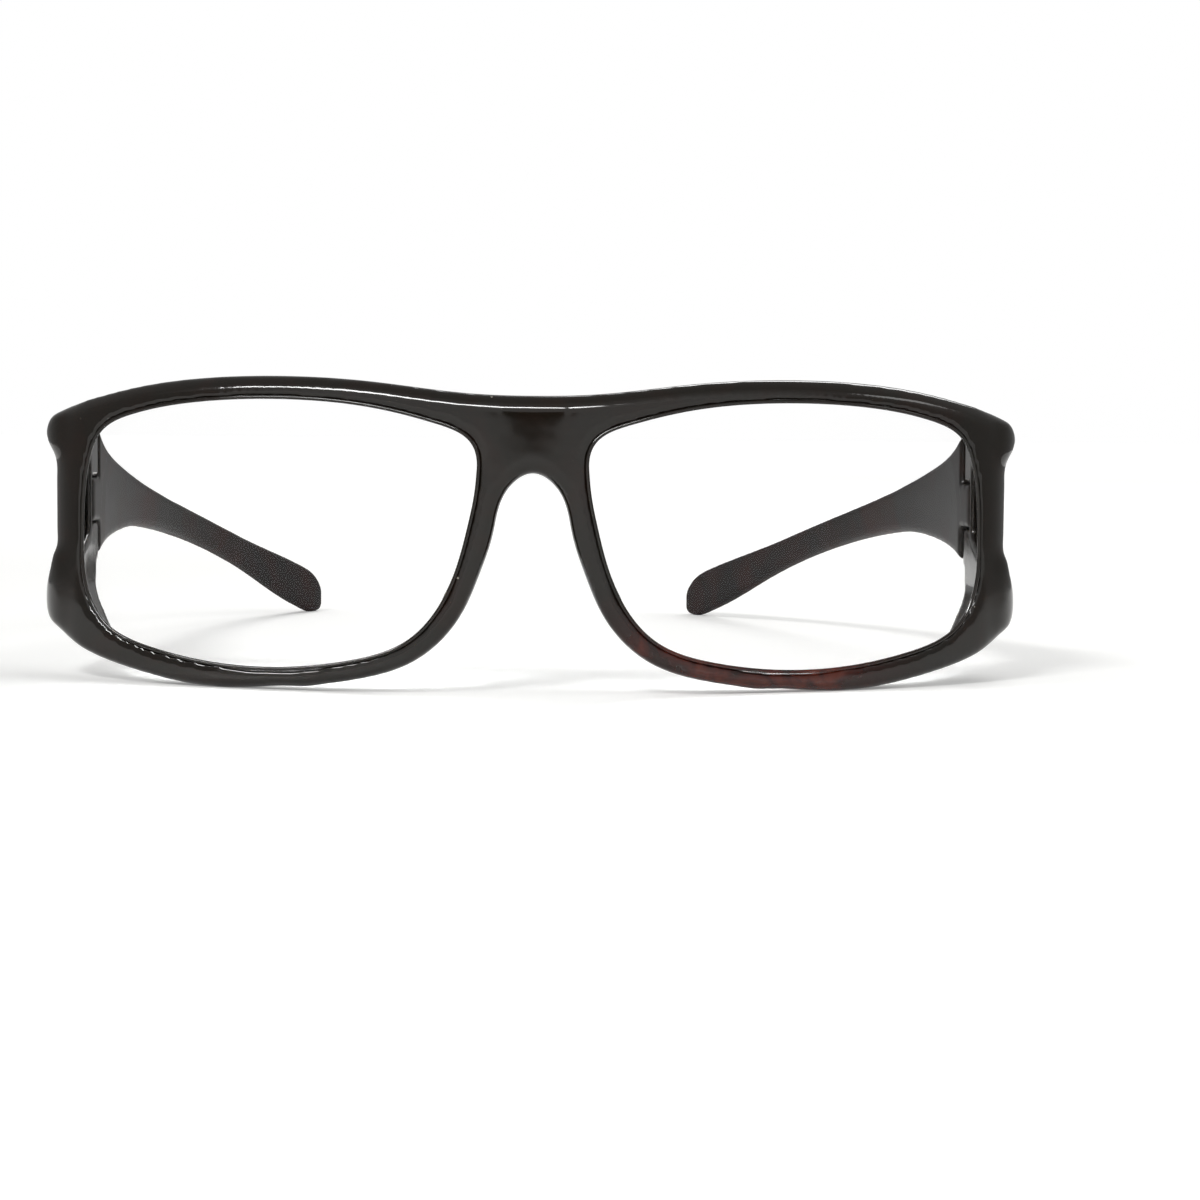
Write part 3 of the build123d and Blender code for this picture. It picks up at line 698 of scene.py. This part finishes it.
steel, tree, shader = new_material("turned_stainless_steel")
place = add_node(tree, "ShaderNodeTexCoord").outputs["Object"]
rings = add_node(tree, "ShaderNodeTexWave", {"Vector": place, "Scale": band_at_one / ring_spacing,
                                             "Distortion": 1.0}, wave_type="BANDS", bands_direction="Z")
wear = add_node(tree, "ShaderNodeTexNoise", {"Vector": place, "Scale": 1 / wear_width,
                                             "Detail": 3.0})
gloss = add_node(tree, "ShaderNodeMapRange", {"Value": wear.outputs["Fac"], "To Min": 0.22,
                                              "To Max": 0.38})
cut = add_node(tree, "ShaderNodeBump", {"Height": rings.outputs["Fac"], "Strength": 0.15,
                                        "Distance": ring_height})
tone = add_node(tree, "ShaderNodeValToRGB", {"Fac": wear.outputs["Fac"]})
tone.color_ramp.elements[0].color = linear("#a9a8a6")
tone.color_ramp.elements[1].color = linear("#cbcac7")
tree.links.new(tone.outputs[0], shader.inputs["Base Color"])
tree.links.new(gloss.outputs[0], shader.inputs["Roughness"])
tree.links.new(cut.outputs[0], shader.inputs["Normal"])
shader.inputs["Metallic"].default_value = 1.0
for name in ("left_hinge_screw", "right_hinge_screw"):
    frame["nodes"][name].material_slots[0].material = steel

# %% [markdown]
# ## The bead round each opening
# Where the front face turns into an opening, the real edge is a small polished roll, and a lamp
# overhead draws one bright thread along it. The solid has a sharp edge there. Rounding it would mean
# cutting the solid again, and sweeping a rod along a copied outline would need the outline twice.
# Geometry Nodes can find the edge by itself: it is the only sharp edge that lies on the face, which
# is a cylinder about an upright axis. The tree turns that edge into a smooth curve and runs a thin
# rod along it, more than half sunk in the frame, so that it stays inside the solid's box.

# %% The tree's named inputs
bead_radius = 0.28 * MM
bead_step = 0.45 * MM
bead_sink = 0.17 * MM          # of its middle behind the face
bead_sides = 10
least_turn = radians(52)       # sharper than the bevels of the front
face_slack = 0.06 * MM
opening_reach = 68.5 * MM      # from the middle plane, beyond which the rails begin

lens_field, curve_share = 134, 0.8955    # mm, and the radius of the face as a share of it
face_radius = curve_share * lens_field * MM
face_axis = Vector((0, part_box("front_frame")[0].y + face_radius, 0))

bead_tree = bpy.data.node_groups.new("opening_bead", "GeometryNodeTree")
panel = bead_tree.interface
panel.new_socket("Geometry", in_out="INPUT", socket_type="NodeSocketGeometry")
bead_inputs = {name: panel.new_socket(name, in_out="INPUT", socket_type=kind)
               for name, kind in (("Bead radius", "NodeSocketFloat"), ("Step", "NodeSocketFloat"),
                                  ("Sides", "NodeSocketInt"), ("Least turn", "NodeSocketFloat"),
                                  ("Face axis", "NodeSocketVector"),
                                  ("Face radius", "NodeSocketFloat"), ("Widest", "NodeSocketFloat"),
                                  ("Sink", "NodeSocketFloat"), ("Slack", "NodeSocketFloat"),
                                  ("Finish", "NodeSocketMaterial"))}
panel.new_socket("Geometry", in_out="OUTPUT", socket_type="NodeSocketGeometry")
given = add_node(bead_tree, "NodeGroupInput").outputs
print("inputs:", ", ".join(bead_inputs))

# %% [markdown]
# The edge is chosen by three tests: it turns sharply, it lies on the face, which means as far from
# the face's axis as the face's radius, and it lies within the openings' width, because the ends of
# the rails are sharp and lie on the same cylinder. A list of edge numbers would be wrong after the
# next change to the solid.

# %% Find the edge of each opening
joined = add_node(bead_tree, "GeometryNodeMergeByDistance", {"Geometry": given["Geometry"],
                                                             "Distance": merge_within})
angle = add_node(bead_tree, "GeometryNodeInputMeshEdgeAngle")
sharp = add_node(bead_tree, "FunctionNodeCompare", {0: angle.outputs["Unsigned Angle"],
                                                    1: given["Least turn"]}, operation="GREATER_THAN")
place = add_node(bead_tree, "GeometryNodeInputPosition")
offset = add_node(bead_tree, "ShaderNodeVectorMath", {0: place.outputs[0], 1: given["Face axis"]},
                  operation="SUBTRACT")
level = add_node(bead_tree, "ShaderNodeVectorMath", {0: offset.outputs[0], 1: (1, 1, 0)},
                 operation="MULTIPLY")
reach = add_node(bead_tree, "ShaderNodeVectorMath", {0: level.outputs[0]}, operation="LENGTH")
short = add_node(bead_tree, "ShaderNodeMath", {0: given["Face radius"], 1: reach.outputs["Value"]},
                 operation="SUBTRACT")
gap = add_node(bead_tree, "ShaderNodeMath", {0: short.outputs[0]}, operation="ABSOLUTE")
on_face = add_node(bead_tree, "FunctionNodeCompare", {0: gap.outputs[0], 1: given["Slack"]},
                   operation="LESS_THAN")
turned = add_node(bead_tree, "FunctionNodeBooleanMath", {0: sharp.outputs[0], 1: on_face.outputs[0]},
                  operation="AND")
sideways = add_node(bead_tree, "ShaderNodeSeparateXYZ", {0: place.outputs[0]}).outputs["X"]
out = add_node(bead_tree, "ShaderNodeMath", {0: sideways}, operation="ABSOLUTE")
within = add_node(bead_tree, "FunctionNodeCompare", {0: out.outputs[0], 1: given["Widest"]},
                  operation="LESS_THAN")
chosen = add_node(bead_tree, "FunctionNodeBooleanMath", {0: turned.outputs[0], 1: within.outputs[0]},
                  operation="AND")
print("nodes so far:", len(bead_tree.nodes))

# %% [markdown]
# The chosen edges become one closed curve for each opening. A spline through its points, taken in
# even steps, loses the corners of the solid's short segments. It moves back into the frame by the
# sink, and a small circle swept along it is the bead.

# %% Run a bead along the edge
edge = add_node(bead_tree, "GeometryNodeMeshToCurve", {"Mesh": joined.outputs[0],
                                                       "Selection": chosen.outputs[0]})
smooth = add_node(bead_tree, "GeometryNodeCurveSplineType", {"Curve": edge.outputs[0]},
                  spline_type="CATMULL_ROM")
spaced = add_node(bead_tree, "GeometryNodeResampleCurve", {"Curve": smooth.outputs[0],
                                                           "Length": given["Step"]}, mode="LENGTH")
outward = add_node(bead_tree, "ShaderNodeVectorMath", {0: level.outputs[0]}, operation="NORMALIZE")
depth = add_node(bead_tree, "ShaderNodeMath", {0: given["Sink"], 1: -1.0}, operation="MULTIPLY")
inward = add_node(bead_tree, "ShaderNodeVectorMath", {0: outward.outputs[0], "Scale": depth.outputs[0]},
                  operation="SCALE")
sunk = add_node(bead_tree, "GeometryNodeSetPosition", {"Geometry": spaced.outputs[0],
                                                       "Offset": inward.outputs[0]})
section = add_node(bead_tree, "GeometryNodeCurvePrimitiveCircle", {"Resolution": given["Sides"],
                                                                   "Radius": given["Bead radius"]})
rod = add_node(bead_tree, "GeometryNodeCurveToMesh", {"Curve": sunk.outputs[0],
                                                      "Profile Curve": section.outputs[0]})
shaded = add_node(bead_tree, "GeometryNodeSetShadeSmooth", {"Geometry": rod.outputs[0]})
real = add_node(bead_tree, "GeometryNodeRealizeInstances", {"Geometry": shaded.outputs[0]})
painted = add_node(bead_tree, "GeometryNodeSetMaterial", {"Geometry": real.outputs[0],
                                                          "Material": given["Finish"]})
add_node(bead_tree, "NodeGroupOutput", {"Geometry": painted.outputs[0]})
print("nodes in the tree:", len(bead_tree.nodes))

# %% [markdown]
# The tree runs as a modifier on a copy of the frame's solid. Its result is kept as a plain mesh and
# the copy is removed, so the bead is a piece like any other and rides on the front.


# %% Run the tree on a copy of the frame
def grown(name, source_mesh, tree, sockets, values, body):
    """Runs a tree on a copy of a mesh and keeps the result as a plain piece on a body."""
    host = bpy.data.objects.new(name + "_host", source_mesh.copy())
    scene.collection.objects.link(host)
    modifier = host.modifiers.new("grow", "NODES")
    modifier.node_group = tree
    for label, value in values.items():
        modifier[sockets[label].identifier] = value
    ready = host.evaluated_get(bpy.context.evaluated_depsgraph_get())
    made = bpy.data.meshes.new_from_object(ready)
    bpy.data.objects.remove(host)
    made.name = name
    piece = bpy.data.objects.new(name, made)
    scene.collection.objects.link(piece)
    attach(piece, body)
    print(name, "has", len(made.polygons), "faces")


grown("opening_beads", frame["nodes"]["front_frame"].data, bead_tree, bead_inputs,
      {"Bead radius": bead_radius, "Step": bead_step, "Sides": bead_sides, "Sink": bead_sink,
       "Least turn": least_turn, "Face axis": face_axis, "Face radius": face_radius,
       "Slack": face_slack, "Widest": opening_reach, "Finish": nylon}, "front")

# %% [markdown]
# ## Sizes
# Dressing must not change the object, so the dressed box is compared with the solids' box, and the
# growth is printed.

# %% Compare both boxes and finish
bpy.context.view_layer.update()
visual_low, visual_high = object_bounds()
growth = (visual_high - visual_low) - (cad_high - cad_low)
print("growth in mm:", [round(side / MM, 2) for side in growth])
